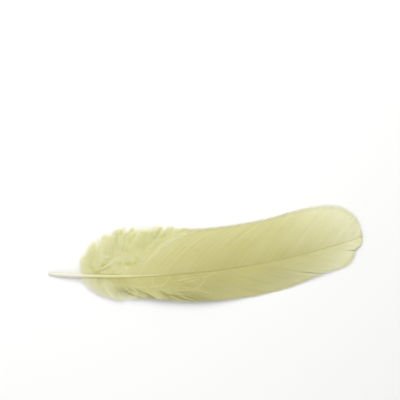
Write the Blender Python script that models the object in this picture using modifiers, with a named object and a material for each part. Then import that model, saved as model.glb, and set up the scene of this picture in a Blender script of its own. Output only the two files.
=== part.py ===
"""One goose quill feather lying on a flat surface, upper side up.

The quill, its shaft and the vanes grew as one piece, so the feather is one solid.
X runs from the quill's end to the feather's tip, Y across the vanes, Z up.
The broad vane is on the +Y side and the narrow vane on the -Y side.
"""

import math

import bmesh
import bpy
import numpy as np

# Driving dimensions, in metres
LENGTH = 0.178  # from the quill's end to the feather's tip
BARE_QUILL = 0.0195  # length of quill below the first barbs
SHAFT_END = 0.1760  # where the shaft runs out, from the quill's end
SIDE_BOW = 0.0088  # how far the shaft bows sideways, towards the narrow vane
ARCH = 0.0080  # how high the shaft arches above the line between its ends
QUILL_RADIUS = 0.00125
QUILL_END_RADIUS = 0.00080
QUILL_END_LENGTH = 0.006  # how far from its end the quill is still widening
QUILL_END_HEIGHT = 0.00066  # height of the quill's middle at its end
END_ROUNDING = 0.72  # the radius of the end's rim, as a share of the quill's there
SHAFT_BASE_RADIUS = 0.00112
SHAFT_TIP_RADIUS = 0.00022
SHAFT_TAPER = 0.85  # below 1, the shaft thins sooner near the quill
QUILL_TO_SHAFT = (0.8, 1.25)  # the quill passes into the shaft between these shares of its length
RINGS_AT_END = (0.0, 0.0006, 0.0020)  # distances from the quill's end
RINGS = 36  # from QUILL_END_LENGTH on
WELD = 0.000002  # ring corners closer than this become one
TIP_HEIGHT = 0.0009  # height of the shaft's middle at the tip
SHAFT_PROUD = 0.0003  # how far the shaft stands above the vanes
VANE_THICKNESS = 0.0006
DOWN_THICKNESS = 0.0008
REST_SINK = 0.0001  # how much is pressed flat where the feather rests on the surface
CENTRE_SHIFT = 0.0027  # moves the feather across, so that the origin is under its middle

# Edge of each vane as (distance from the quill's end, width out from the shaft)
BROAD_EDGE = (
    (0.0175, 0.0050),
    (0.0190, 0.0115),
    (0.0280, 0.0218),
    (0.0460, 0.0288),
    (0.0660, 0.0278),
    (0.0900, 0.0245),
    (0.1250, 0.0240),
    (0.1510, 0.0252),
    (0.1670, 0.0216),
    (0.1757, 0.0130),
    (0.1780, 0.0012),
)
NARROW_EDGE = (
    (0.0178, 0.0034),
    (0.0230, 0.0076),
    (0.0310, 0.0124),
    (0.0390, 0.0142),
    (0.0500, 0.0130),
    (0.0640, 0.0146),
    (0.0820, 0.0172),
    (0.1050, 0.0186),
    (0.1280, 0.0186),
    (0.1440, 0.0166),
    (0.1560, 0.0142),
    (0.1660, 0.0144),
    (0.1715, 0.0126),
    (0.1736, 0.0084),
    (0.1744, 0.0060),
    (0.1772, 0.0046),
    (0.1780, 0.0012),
)
EDGE_STEPS = 24  # on the smooth edge, from corner to corner

# Barbs at these shares of the shaft end at these shares of the vane's edge
ROOT_SHARES = (0.0, 0.05, 0.12, 0.25, 0.50, 0.80, 0.92, 1.0)
BROAD_EDGE_SHARES = (0.0, 0.12, 0.275, 0.47, 0.700, 0.890, 0.950, 1.0)
NARROW_EDGE_SHARES = (0.0, 0.09, 0.20, 0.43, 0.720, 0.925, 0.972, 1.0)

# Angle between a barb and the shaft where they meet, at the same shares of the shaft
BROAD_ROOT_DEGREES = (88.0, 82.0, 68.0, 52.0, 46.0, 40.0, 32.0, 25.0)
NARROW_ROOT_DEGREES = (86.0, 76.0, 60.0, 44.0, 35.0, 32.0, 28.0, 22.0)

# The barbs' locks
LOCKS = 32  # on each side of the shaft
COLUMNS_IN_LOCK = 3
CROWDING = 1.3  # above 1, the locks are narrower near the quill
BARB_STEPS = (0.0, 0.20, 0.40, 0.58, 0.73, 0.85, 0.93, 1.0)
RIDGE = 0.00020  # how far the middle of a lock stands above its sides
RIDGE_END = 0.9  # share of the barb at which the ridge has run out
LOCK_GAP = 0.0010  # width of the gap between two locks at the vane's edge
FORK_GAP = 0.35  # the least gap, just outside the fork, as a share of it
MOST_GAP = 0.22  # and the most that it takes from the barbs beside it
TUCK = 0.0005  # how much shorter a lock is at its sides than in its middle
EDGE_SHARE = 0.55  # how thick a lock is at its end, as a share of the vane's thickness
BOLD_LOCKS = (0.55, 0.85)  # a vane's lock is cut a step deeper above each of these shares of its spread
SIDE_SPREAD = 0.37  # between the spreads of a lock on one side and on the other
DEEP_SPLITS = {(8, 1): 6, (23, -1): 4, (29, -1): 3}  # steps from these locks' ends to their forks
GOLDEN = (math.sqrt(5) - 1) / 2  # spreads the locks' differences evenly

# The loose down next to the quill
DOWN_SHARES = (0.10, 0.27)  # down to the first share of the shaft, smooth vane from the second
DOWN_TUCK = 0.0038  # the same for a lock of down, up to MOST_TUCK of its length
MOST_TUCK = 0.13
DOWN_LIFT = 0.0026  # how far the ends of the down stand above the surface
DOWN_UNEVEN = 0.05  # how much the lengths of the locks of down differ
LENGTH_TURN = 2.4  # angles from lock to lock, whose sines give the lengths
LIFT_TURN = 1.9  # and the heights

# How the vanes curve down to the surface
BROAD_REACH = 0.0245
NARROW_REACH = 0.0185
BROAD_CURL = 1.7  # above 1, the vane is flat at the shaft and bends at its edge
NARROW_CURL = 1.6
NARROW_LIFT = 0.35  # share of the shaft's height that the narrow vane's edge stays up
NARROW_RISES = (0.22, 0.36)  # shares of the length between which that edge leaves the surface
NARROW_LANDS = (0.42, 0.78)  # and between which it comes down again
LANDING = 0.0010  # how far below the surface the edges would end if it did not stop them
SOFT_LANDING = 0.0005
WAVE = 0.0007  # height of the slow waves in the broad vane
WAVE_LENGTH = 0.034
WAVE_SLANT = 0.8
WAVE_FADE = 0.6  # share of a wave's height that is gone at the edge


def clear_scene():
    for obj in list(bpy.data.objects):
        bpy.data.objects.remove(obj)


def material(name, colour, roughness):
    made = bpy.data.materials.new(name)
    made.use_nodes = True
    shader = made.node_tree.nodes["Principled BSDF"]
    shader.inputs["Base Color"].default_value = (*colour, 1.0)
    shader.inputs["Roughness"].default_value = roughness
    shader.inputs["Metallic"].default_value = 0.0
    return made


def smoothstep(low, high, x):
    share = np.clip((x - low) / (high - low), 0.0, 1.0)
    return share * share * (3.0 - 2.0 * share)


def down_amount(root):
    """1 where the barbs are loose down, 0 where they are a smooth vane."""
    return 1.0 - smoothstep(*DOWN_SHARES, root)


def shaft_radius(along):
    """Radius of the quill or shaft, this far from the quill's end."""
    widening = smoothstep(0.0, QUILL_END_LENGTH, along)
    quill = QUILL_END_RADIUS + (QUILL_RADIUS - QUILL_END_RADIUS) * widening
    share = np.clip((along - BARE_QUILL) / (SHAFT_END - BARE_QUILL), 0.0, 1.0)
    shaft = SHAFT_BASE_RADIUS + (SHAFT_TIP_RADIUS - SHAFT_BASE_RADIUS) * share**SHAFT_TAPER
    return quill + (shaft - quill) * smoothstep(*QUILL_TO_SHAFT, along / BARE_QUILL)


def shaft_centre(along):
    """Middle of the shaft. From above it is a parabola, and from the side it rises, then curves down."""
    t = along / LENGTH
    x = along - LENGTH / 2
    y = CENTRE_SHIFT - 4.0 * SIDE_BOW * t * (1.0 - t)
    ends = QUILL_END_HEIGHT * (1.0 - t) + TIP_HEIGHT * t
    highest = 2.0 / (3.0 * math.sqrt(3.0))  # of t - t**3
    return x, y, ends + ARCH / highest * (t - t**3)


def shaft_direction(along):
    """Unit direction of the shaft, seen from above."""
    slope = -4.0 * SIDE_BOW / LENGTH * (1.0 - 2.0 * along / LENGTH)
    length = np.sqrt(1.0 + slope * slope)
    return 1.0 / length, slope / length


def edge_points(edge, shares):
    """Points at these shares of an edge's length, on a smooth curve through its corners."""
    corners = np.array(edge)
    ends = 2.0 * corners[[0, -1]] - corners[[1, -2]]
    padded = np.vstack([ends[:1], corners, ends[1:]])
    t = np.linspace(0.0, 1.0, EDGE_STEPS, endpoint=False)[:, None]
    pieces = []
    for a, b, c, d in zip(padded, padded[1:], padded[2:], padded[3:]):
        turn = a - 2.5 * b + 2.0 * c - 0.5 * d
        twist = 1.5 * (b - c) + 0.5 * (d - a)
        pieces.append(b + 0.5 * t * (c - a) + t**2 * turn + t**3 * twist)
    line = np.vstack([*pieces, corners[-1:]])
    lengths = np.append(0.0, np.cumsum(np.linalg.norm(np.diff(line, axis=0), axis=1)))
    wanted = shares * lengths[-1]
    return np.interp(wanted, lengths, line[:, 0]), np.interp(wanted, lengths, line[:, 1])


def barb_paths(side, roots, steps):
    """Barbs seen from above: an array of X and Y points, with a row for each root.

    A barb is a quadratic curve. It leaves the shaft at its root angle and bends forward to its
    place on the edge. The steps are shares of it, with a row for each root too.
    """
    edge, edge_shares, degrees = {
        1: (BROAD_EDGE, BROAD_EDGE_SHARES, BROAD_ROOT_DEGREES),
        -1: (NARROW_EDGE, NARROW_EDGE_SHARES, NARROW_ROOT_DEGREES),
    }[side]
    along = BARE_QUILL + (SHAFT_END - BARE_QUILL) * roots
    root = np.stack(shaft_centre(along)[:2], axis=-1)
    edge_along, edge_width = edge_points(edge, np.interp(roots, ROOT_SHARES, edge_shares))
    end = np.stack(shaft_centre(edge_along)[:2], axis=-1)
    end[:, 1] += side * edge_width
    ahead = np.stack(shaft_direction(along), axis=-1)
    aside = np.stack([-side * ahead[:, 1], side * ahead[:, 0]], axis=-1)
    angle = np.radians(np.interp(roots, ROOT_SHARES, degrees))[:, None]
    reach = 0.5 * np.linalg.norm(end - root, axis=1, keepdims=True)
    bend = root + reach * (np.cos(angle) * ahead + np.sin(angle) * aside)
    v = steps[..., None]
    return (1.0 - v) ** 2 * root[:, None] + 2.0 * v * (1.0 - v) * bend[:, None] + v**2 * end[:, None]


def vane_height(x, y, thickness):
    """Height of the vane's middle: just below the shaft's top there, and down to the surface outwards."""
    along = np.clip(x + LENGTH / 2, 0.0, LENGTH)
    _, centre_y, shaft_z = shaft_centre(along)
    top = shaft_z + shaft_radius(along) - SHAFT_PROUD - 0.5 * thickness
    broad = np.maximum(y - centre_y, 0.0) / BROAD_REACH
    narrow = np.maximum(centre_y - y, 0.0) / NARROW_REACH
    t = along / LENGTH
    lift = NARROW_LIFT * smoothstep(*NARROW_RISES, t) * (1.0 - smoothstep(*NARROW_LANDS, t))
    drop = (top + LANDING) * (broad**BROAD_CURL + (1.0 - lift) * narrow**NARROW_CURL)
    wave = WAVE * np.sin(2.0 * math.pi * (along / WAVE_LENGTH + WAVE_SLANT * broad))
    inside = np.clip(broad, 0.0, 1.0)
    floor = 0.5 * EDGE_SHARE * thickness - REST_SINK
    free = top - drop + wave * inside * (1.0 - WAVE_FADE * inside) - floor
    return floor + 0.5 * (free + np.sqrt(free**2 + SOFT_LANDING**2))


def vane_points(roots, lock, middle):
    """Points over both vanes, with a row for each barb, from the narrow edge to the broad one."""
    steps = np.tile(BARB_STEPS, (len(roots), 1))
    down = down_amount(roots)
    thickness = (VANE_THICKNESS + (DOWN_THICKNESS - VANE_THICKNESS) * down)[:, None]
    halves = []
    for side in (-1, 1):
        whole = barb_paths(side, roots, steps)
        length = np.linalg.norm(whole[:, -1] - whole[:, 0], axis=1)
        uneven = DOWN_UNEVEN * down * (1.0 - np.sin(LENGTH_TURN * lock + side)) * 0.5
        tuck = np.minimum((TUCK + (DOWN_TUCK - TUCK) * down) / length, MOST_TUCK)
        shorter = uneven + tuck * (1.0 - middle)
        path = barb_paths(side, roots, steps * (1.0 - shorter[:, None] * steps))
        z = vane_height(path[..., 0], path[..., 1], thickness)
        ridge = RIDGE * middle[:, None] * np.sin(math.pi * np.minimum(steps / RIDGE_END, 1.0))
        lift = DOWN_LIFT * down * (0.5 + 0.5 * np.sin(LIFT_TURN * lock + side))
        lift *= np.minimum(length / BROAD_REACH, 1.0) ** 2
        z += ridge + lift[:, None] * steps**2
        halves.append(np.dstack([path, z]))
    narrow, broad = halves
    return np.concatenate([narrow[:, :0:-1], broad], axis=1)


def split_depth(lock, side):
    """How many steps, counted in from the edge, part this lock from the one before it."""
    root = (lock / LOCKS) ** CROWDING
    spread = (lock * GOLDEN + SIDE_SPREAD * (side > 0)) % 1.0
    if root < DOWN_SHARES[0]:
        return 5 + round(spread)
    if root < DOWN_SHARES[1]:
        return 3 + round(spread)
    return 1 + sum(spread > bold for bold in BOLD_LOCKS)


def lock_points():
    """Points over both vanes as the lock before and the lock after each barb has them.

    They differ only along the barbs between two locks, outwards from where the locks part.
    """
    columns = np.arange(LOCKS * COLUMNS_IN_LOCK + 1)
    roots = (columns / columns[-1]) ** CROWDING
    middle = np.where(columns % COLUMNS_IN_LOCK == 0, 0.0, 1.0)
    before = vane_points(roots, np.maximum(columns - 1, 0) // COLUMNS_IN_LOCK, middle)
    after = vane_points(roots, np.minimum(columns // COLUMNS_IN_LOCK, LOCKS - 1), middle)
    joined = 0.5 * (before + after)
    steps = len(BARB_STEPS) - 1
    cuts = {}
    for lock in range(1, LOCKS):
        column = lock * COLUMNS_IN_LOCK
        for side in (-1, 1):
            depth = DEEP_SPLITS.get((lock, side), split_depth(lock, side))
            cuts[column, side] = depth
            fork = BARB_STEPS[steps - depth]
            for step in range(steps - depth + 1, steps + 1):
                row = steps + side * step
                share = (BARB_STEPS[step] - fork) / (1.0 - fork)
                across = after[column + 1, row] - before[column - 1, row]
                gap = LOCK_GAP * (FORK_GAP + (1.0 - FORK_GAP) * share) / np.linalg.norm(across)
                before[column, row] -= across * min(0.5 * gap, MOST_GAP)
                after[column, row] += across * min(0.5 * gap, MOST_GAP)
            inside = slice(steps, steps + side * (steps - depth + 1), side)
            before[column, inside] = after[column, inside] = joined[column, inside]
    return before, after, cuts


def make_vanes():
    """Both vanes as one thin solid: a grid that follows the barbs, parted into locks at its edges."""
    before, after, cuts = lock_points()
    columns, rows = before.shape[0] - 1, before.shape[1]
    steps = rows // 2
    grid_mesh = bmesh.new()
    place = grid_mesh.verts.layers.int.new("place")
    bmesh.ops.create_grid(grid_mesh, x_segments=columns, y_segments=rows - 1, size=0.5)
    for vert in grid_mesh.verts:
        column = round((vert.co.x + 0.5) * columns)
        row = round((vert.co.y + 0.5) * (rows - 1))
        vert[place] = column * rows + row
    torn = []
    for edge in grid_mesh.edges:
        (column, row), (other, next_row) = (divmod(v[place], rows) for v in edge.verts)
        side = 1 if row + next_row > 2 * steps else -1
        inner = min(abs(row - steps), abs(next_row - steps))
        if column == other and inner >= steps - cuts.get((column, side), 0):
            torn.append(edge)
    bmesh.ops.split_edges(grid_mesh, edges=torn)
    for vert in grid_mesh.verts:
        column, row = divmod(vert[place], rows)
        beside = sum(v[place] // rows - column for face in vert.link_faces for v in face.verts)
        vert.co = (after if beside > 0 else before)[column, row]
    for face in grid_mesh.faces:
        face.smooth = True
    bmesh.ops.recalc_face_normals(grid_mesh, faces=grid_mesh.faces)
    mesh = bpy.data.meshes.new("vanes")
    places = [divmod(vert[place], rows) for vert in grid_mesh.verts]
    grid_mesh.to_mesh(mesh)
    grid_mesh.free()
    vanes = bpy.data.objects.new("vanes", mesh)
    thick = vanes.vertex_groups.new(name="thickness")
    thinnest = VANE_THICKNESS / DOWN_THICKNESS
    for index, (column, row) in enumerate(places):
        down = float(down_amount((column / columns) ** CROWDING))
        end = BARB_STEPS[abs(row - steps)] ** 2 * (1.0 - EDGE_SHARE)
        thick.add([index], (thinnest + (1.0 - thinnest) * down) * (1.0 - end), "REPLACE")
    shell = vanes.modifiers.new("thickness", "SOLIDIFY")
    shell.thickness = DOWN_THICKNESS
    shell.offset = 0.0
    shell.vertex_group = "thickness"
    return vanes


def make_shaft():
    """The quill and shaft: a round tube that follows the centre line and thins towards the tip."""
    along = np.append(RINGS_AT_END, np.linspace(QUILL_END_LENGTH, SHAFT_END, RINGS))
    radius = shaft_radius(along)
    radius[0] *= END_ROUNDING
    path = bpy.data.curves.new("shaft", "CURVE")
    path.dimensions = "3D"
    path.bevel_depth = 1.0
    path.bevel_resolution = 3
    path.use_fill_caps = True
    spline = path.splines.new("POLY")
    spline.points.add(len(along) - 1)
    for point, x, y, z, size in zip(spline.points, *shaft_centre(along), radius):
        point.co = (x, y, z, 1.0)
        point.radius = size
    curve = bpy.data.objects.new("shaft_curve", path)
    bpy.context.scene.collection.objects.link(curve)
    bpy.context.view_layer.update()
    seen = curve.evaluated_get(bpy.context.evaluated_depsgraph_get())
    mesh = bpy.data.meshes.new_from_object(seen)
    bpy.data.objects.remove(curve)
    welded = bmesh.new()
    welded.from_mesh(mesh)
    bmesh.ops.remove_doubles(welded, verts=welded.verts, dist=WELD)
    bmesh.ops.recalc_face_normals(welded, faces=welded.faces)
    welded.to_mesh(mesh)
    welded.free()
    return bpy.data.objects.new("feather", mesh)


def make_surface_cutter():
    """A block whose top is the surface that the feather lies on."""
    depth = 0.01
    block = bmesh.new()
    bmesh.ops.create_cube(block, size=1.0)
    bmesh.ops.scale(block, vec=(1.4 * LENGTH, 0.6 * LENGTH, depth), verts=block.verts)
    bmesh.ops.translate(block, vec=(0.0, 0.0, -0.5 * depth), verts=block.verts)
    mesh = bpy.data.meshes.new("surface")
    block.to_mesh(mesh)
    block.free()
    return bpy.data.objects.new("surface", mesh)


def boolean(obj, name, operation, other):
    step = obj.modifiers.new(name, "BOOLEAN")
    step.operation = operation
    step.solver = "EXACT"
    step.object = other


def build():
    clear_scene()
    parts = bpy.data.collections.new("goose_feather")
    cutters = bpy.data.collections.new("cutters")
    for collection in (parts, cutters):
        bpy.context.scene.collection.children.link(collection)
    feather = make_shaft()
    vanes = make_vanes()
    surface = make_surface_cutter()
    parts.objects.link(feather)
    for helper in (vanes, surface):
        cutters.objects.link(helper)
        helper.hide_render = True
        helper.display_type = "WIRE"
    boolean(feather, "vanes", "UNION", vanes)
    boolean(feather, "flat where it rests", "DIFFERENCE", surface)
    feather.data.materials.append(material("feather", (0.79, 0.77, 0.42), 0.6))
    feather.data.shade_smooth()
    feather.data.set_sharp_from_angle(angle=math.radians(35))


build()
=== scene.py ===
"""The looks of one goose quill feather, lying on a pale floor with its upper side up.

The quill and shaft, the barbs of both vanes, and the down next to the quill stand for the plain
solid and follow its lines: X runs from the quill's end to the feather's tip, Y across the vanes
with the broad one on the +Y side, and Z up. Sizes are in metres. Shares of the shaft run from 0 at
the first barbs to 1 at its end, and shares of a barb from 0 at the shaft to 1 at the vane's edge.
"""

import math
from types import SimpleNamespace

import bpy
import numpy as np
from bpy.props import FloatProperty, FloatVectorProperty, IntProperty, PointerProperty
from bpy.types import Operator, Panel, PropertyGroup
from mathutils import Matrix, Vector


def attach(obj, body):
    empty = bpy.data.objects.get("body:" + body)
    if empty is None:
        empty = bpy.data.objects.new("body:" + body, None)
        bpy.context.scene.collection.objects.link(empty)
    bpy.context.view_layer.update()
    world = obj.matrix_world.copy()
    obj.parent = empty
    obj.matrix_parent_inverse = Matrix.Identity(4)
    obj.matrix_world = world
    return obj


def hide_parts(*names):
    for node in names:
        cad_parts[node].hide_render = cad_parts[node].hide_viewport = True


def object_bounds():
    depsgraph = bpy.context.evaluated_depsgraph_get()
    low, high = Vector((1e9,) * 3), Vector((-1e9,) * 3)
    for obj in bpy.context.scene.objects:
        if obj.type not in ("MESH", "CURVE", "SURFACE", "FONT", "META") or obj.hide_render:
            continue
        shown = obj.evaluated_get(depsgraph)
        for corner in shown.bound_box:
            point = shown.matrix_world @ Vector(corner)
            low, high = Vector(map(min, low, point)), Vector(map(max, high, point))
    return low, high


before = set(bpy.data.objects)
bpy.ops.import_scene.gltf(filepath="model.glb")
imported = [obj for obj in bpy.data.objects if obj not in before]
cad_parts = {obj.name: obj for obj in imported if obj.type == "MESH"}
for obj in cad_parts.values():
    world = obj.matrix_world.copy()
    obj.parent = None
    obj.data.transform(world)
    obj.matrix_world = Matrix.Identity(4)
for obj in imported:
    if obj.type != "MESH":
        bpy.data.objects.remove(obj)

bl_info = {
    "name": "Goose Quill Feather",
    "version": (1, 0, 0),
    "blender": (4, 5, 0),
    "location": "3D View > Sidebar > Feather",
    "description": "Builds a goose quill feather from its barbs, its down and its quill",
    "category": "Object",
}

NODE = "feather"
CAD_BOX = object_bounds()
MM = 0.001
GOLDEN = (math.sqrt(5) - 1) / 2  # spreads the locks' differences evenly

# The vanes, by the side of the shaft that each is on
BROAD = 1
NARROW = -1
VANES = {"broad": BROAD, "narrow": NARROW}

# What each kind of random draw adds to the seed, besides the side
SEEDS = {"barbs": 0, "under_barbs": 4, "down": 10, "under_down": 20, "wisps": 30, "wisp_lines": 40}

# Quill and shaft, as in the solid
LENGTH = 0.178  # from the quill's end to the feather's tip
BARE_QUILL = 0.0195  # length of quill below the first barbs
SHAFT_END = 0.1760  # where the shaft runs out, from the quill's end
SIDE_BOW = 0.0088  # how far the shaft bows sideways, towards the narrow vane
ARCH = 0.0080  # how high it arches above the line between its ends
CENTRE_SHIFT = 0.0027  # moves the feather across, so that the origin is under its middle
QUILL_RADIUS = 0.00125
QUILL_END_RADIUS = 0.00080
QUILL_END_LENGTH = 0.006  # how far from its end the quill is still widening
QUILL_END_HEIGHT = 0.00066  # height of the quill's middle at its end
SHAFT_BASE_RADIUS = 0.00112
SHAFT_TIP_RADIUS = 0.00022
SHAFT_TAPER = 0.85  # below 1, the shaft thins sooner near the quill
QUILL_TO_SHAFT = (0.8, 1.25)  # the quill passes into the shaft between these shares of its length
TIP_HEIGHT = 0.0009  # height of the shaft's middle at the tip

# The quill's end, from deep in its hole over the rim to its outside, as distances from the end in
# millimetres and radii as shares of the quill's
QUILL_HOLE = ((1.5, 0.30), (0.5, 0.40), (0.15, 0.48), (0.0, 0.64), (0.1, 0.84), (0.4, 0.95), (0.9, 1.0))
HOLE_DEPTH = 1.6  # in millimetres
QUILL_FROM = 0.0014  # where the rings of the outside go on, from the quill's end
QUILL_RINGS = 230
RING_CROWDING = 1.1  # above 1, the rings are closer near the quill's end
QUILL_CORNERS = 28
SHAFT_POINT = 0.0008  # from the last ring to the point of the shaft
GROOVE_STARTS = (BARE_QUILL, 2.0 * BARE_QUILL)  # the shaft's groove deepens between these
GROOVE_DEPTH = 0.34  # as a share of the radius
GROOVE_WIDTH = 0.42  # in radians round the shaft
SQUARED = 0.04  # how far its section goes from round towards square
SHORT_STEP = 0.0001  # a step along the shaft, which gives its direction
QUILL_LOWEST = 0.00002  # height of the lowest points above the surface

# Edge of each vane as (distance from the quill's end, width out from the shaft), as in the solid
EDGES = {
    BROAD: (
        (0.0175, 0.0050),
        (0.0190, 0.0115),
        (0.0280, 0.0218),
        (0.0460, 0.0288),
        (0.0660, 0.0278),
        (0.0900, 0.0245),
        (0.1250, 0.0240),
        (0.1510, 0.0252),
        (0.1670, 0.0216),
        (0.1757, 0.0130),
        (0.1780, 0.0012),
    ),
    NARROW: (
        (0.0178, 0.0034),
        (0.0230, 0.0076),
        (0.0310, 0.0124),
        (0.0390, 0.0142),
        (0.0500, 0.0130),
        (0.0640, 0.0146),
        (0.0820, 0.0172),
        (0.1050, 0.0186),
        (0.1280, 0.0186),
        (0.1440, 0.0166),
        (0.1560, 0.0142),
        (0.1660, 0.0144),
        (0.1715, 0.0126),
        (0.1736, 0.0084),
        (0.1744, 0.0060),
        (0.1772, 0.0046),
        (0.1780, 0.0012),
    ),
}
EDGE_STEPS = 24  # on the smooth edge, from corner to corner

# Barbs at these shares of the shaft end at these shares of the vane's edge, and leave the shaft at
# these angles
ROOT_SHARES = (0.0, 0.05, 0.12, 0.25, 0.50, 0.80, 0.92, 1.0)
EDGE_SHARES = {
    BROAD: (0.0, 0.12, 0.275, 0.47, 0.700, 0.890, 0.950, 1.0),
    NARROW: (0.0, 0.09, 0.20, 0.43, 0.720, 0.925, 0.972, 1.0),
}
ROOT_DEGREES = {
    BROAD: (88.0, 82.0, 68.0, 52.0, 46.0, 40.0, 32.0, 25.0),
    NARROW: (86.0, 76.0, 60.0, 44.0, 35.0, 32.0, 28.0, 22.0),
}

# How the vanes curve down to the surface, with shares of the feather's length
PROUD_AT_BASE = 0.00085  # how far the shaft's top stands above the barbs
PROUD_AT_TIP = 0.00008
PROUD_SHARES = (0.14, 0.42)  # and where one passes into the other
REACH = {BROAD: 0.0245, NARROW: 0.0185}  # distance from the shaft at which a vane is down
BEND = {BROAD: 1.7, NARROW: 1.6}  # above 1, the vane is flat at the shaft and bends at its edge
NARROW_LIFT = 0.35  # share of the shaft's height that the narrow vane's edge stays up
NARROW_RISES = (0.22, 0.36)  # where that edge leaves the surface
NARROW_LANDS = (0.42, 0.78)  # and where it comes down again
LANDING = 0.0010  # how far below the surface the edges would end if it did not stop them
SOFT_LANDING = 0.0005  # above 0, they meet it in a curve
WAVE = 0.0007  # height of the slow waves in the broad vane
WAVE_LENGTH = 0.034
WAVE_SLANT = 0.8  # how many of them there are from the shaft outwards to the reach
WAVE_FADE = 0.6  # they grow outwards, less by up to this share
LOWEST = 0.00007  # height of the lowest barbs' and hairs' middle above the surface
TOP_MARGIN = 0.00005  # from the highest hairs' middle up to the top of the solid's box
HIGHEST = CAD_BOX[1][2] - TOP_MARGIN

# Locks of barbs, parted from each other at the edge
LOCKS = 32
LAST_LOCK = LOCKS - 0.001  # the last barb is just inside the last lock
CROWDING = 1.3  # above 1, the locks are narrower near the quill
LOCK_RIDGE = 0.00014  # how far the middle of a lock stands above its sides
LOCK_RIDGE_END = 0.9  # share of the barb at which the ridge has run out
FORK_ROOTS = (0.0, 0.10, 0.27, 1.0)  # at these shares of the shaft
FORKS = (0.22, 0.45, 0.78, 0.86)  # locks part from these shares of their barbs on
FORK_UNEVEN = 0.12  # how far the most different forks are apart, as a share of the barb
GAP_ROOTS = (0.0, 0.27, 1.0)  # and at these shares of the shaft
GAPS = (0.0005, 0.0006, 0.0005)  # the widest gaps at the edge are about this wide
LEAST_GAP = 0.1  # and the narrowest, as a share of that
SIDE_SPREAD = 0.37  # sets the broad vane's differences apart from the narrow one's
DEEP_SPLITS = {  # where the border of a lock opens, as a share of its barbs, and its gap at the edge
    BROAD: {8: (0.45, 0.0008), 29: (0.80, 0.0007)},
    NARROW: {23: (0.50, 0.0006), 29: (0.55, 0.0006)},
}
RIDGE_LOCK = 8  # the lock of the broad vane whose first barbs stand up beside its deep split
SPLIT_RIDGE = 0.0006  # how far the barbs past that split stand up
SPLIT_RIDGE_LOCKS = 0.4  # and over how much of a lock
SPLIT_DIP = 0.0002  # how far those before it lie lower
SPLIT_DIP_LOCKS = 0.5
SPLIT_END = 0.96  # share of the barb at which both have run out
SPLIT_POWER = 0.7  # below 1, they are near their full height over more of the barb

# Single barbs
BARB_STEPS = {BROAD: 31, NARROW: 23}
TUCK = 0.0004  # how much shorter a barb is at the sides of a lock than in its middle
SHORTER = 0.0003  # and how far the longest ends inside the edge
UNEVEN = 0.004  # and how much single barbs differ in length, as a share of them
DOWN_TUCK = 0.018  # the same three in the down, all as shares of the barbs
DOWN_SHORTER = 0.045
DOWN_UNEVEN = 0.15
UNDER_UNEVEN = 0.08  # how much more the down under the vane differs
OWN_LENGTH = 0.7  # how much of that is a barb's own, and how much its tuft's
TUFT_LENGTH = 0.3

# Soft noise over a row of barbs: its size, barbs to each of its cells, and its cells along a barb
SWERVE = (0.00010, 5, 4)  # moves barbs along the shaft
TANGLE = (0.00060, 2, 4)  # the same for loose ones
RIPPLE = (0.00005, 4, 5)  # moves barbs up and down
RIPPLE_FROM = 0.2  # in full from this share of a barb on
SWELL = (0.00016, 14, 2)  # the same in wider waves
FINE_TONES = (0.5, 3, 2)
WIDE_TONES = (0.3, 12, 1)
OWN_TONE = 0.25  # how much single barbs differ in tone
TUFT_TONE = 0.7  # and loose tufts

# Where the barbs are loose down, as shares of the shaft, and of a barb where it says so
DOWN_SHARES = {BROAD: (0.10, 0.21), NARROW: (0.05, 0.13)}
LOOSE_FROM = 1.12  # share of a barb from which it is loose, which is past the end in the closed vane
LOOSE_SOONER = 1.3  # how much lower that share is in the down
LOOSE_POWER = 0.7  # below 1, most of that comes where the down begins
LOOSE_SOFT = 0.14  # it comes loose from this much below that share to this much above
LOOSE_UNEVEN = 0.06  # how much it differs from lock to lock of the down
LOOSE_TURN = 2.4  # angle from one to the next, whose sine gives that
DOWN_LIFT = 0.0026  # how far the ends of the down rise
FLUFF = 0.5  # how much of that a middling tuft rises
FLUFF_WAVE = 0.22  # how much more or less a lock does
FLUFF_TURN = 1.9  # angle from one to the next, whose sine gives that
FLUFF_UNEVEN = 0.45  # and how much more or less a single tuft does
FLUFF_RANGE = (0.05, 1.1)  # the least and the most
UNDER_FLUFF = 0.3  # how much of its own the down under the vane rises
TUFT = 2.6  # barbs of down that cling together
GATHER = 0.35  # how far they draw together
GATHER_BY = 0.5  # in full from this share of a barb on
SWAY = {BROAD: 0.0018, NARROW: 0.0009}  # how far the ends of such a tuft lean to one side
LEAN = {BROAD: 0.35, NARROW: 0.0}  # share of that by which all lean towards the tip
CURL = 0.00035  # and how far it waves
CURL_LENGTH = 0.011
UNDER_SHARE = 0.24  # how far up the shaft there is down under the vane
UNDER_HEIGHT = 0.55  # its height, as a share of the vane's
UNDER_SPACING = 1.8  # its hairs are this much further apart

# Next to its down, the narrow vane's barbs part into strands, and some lie in the others' shade
STRANDS_RISE = (0.055, 0.09)  # shares of the shaft between which that starts
STRANDS_FALL = (0.21, 0.33)  # and ends
STRANDS_OUT = (0.34, 0.66)  # and shares of the barbs
STRANDS = (1.0, 2.7, 4)  # soft noise over the row, with a cell to each strand
STRAND_SHADES = (-0.45, 0.15)  # values of it at which a strand is in the light, and in the shade
STRAND_DIP = 0.00025  # how far a shaded one lies below the others

# Loose barbs that lie over each vane: each is a cubic curve between four places, given in
# millimetres along the quill and shaft and out from them
WISP_STEPS = 25
WISP_LIFT = 0.00035  # how high they lie over the vane
WISP_OVER_DOWN = 0.0013  # and how much higher over the down
WISP_TONE = 0.6  # they are lighter than most barbs
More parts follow.
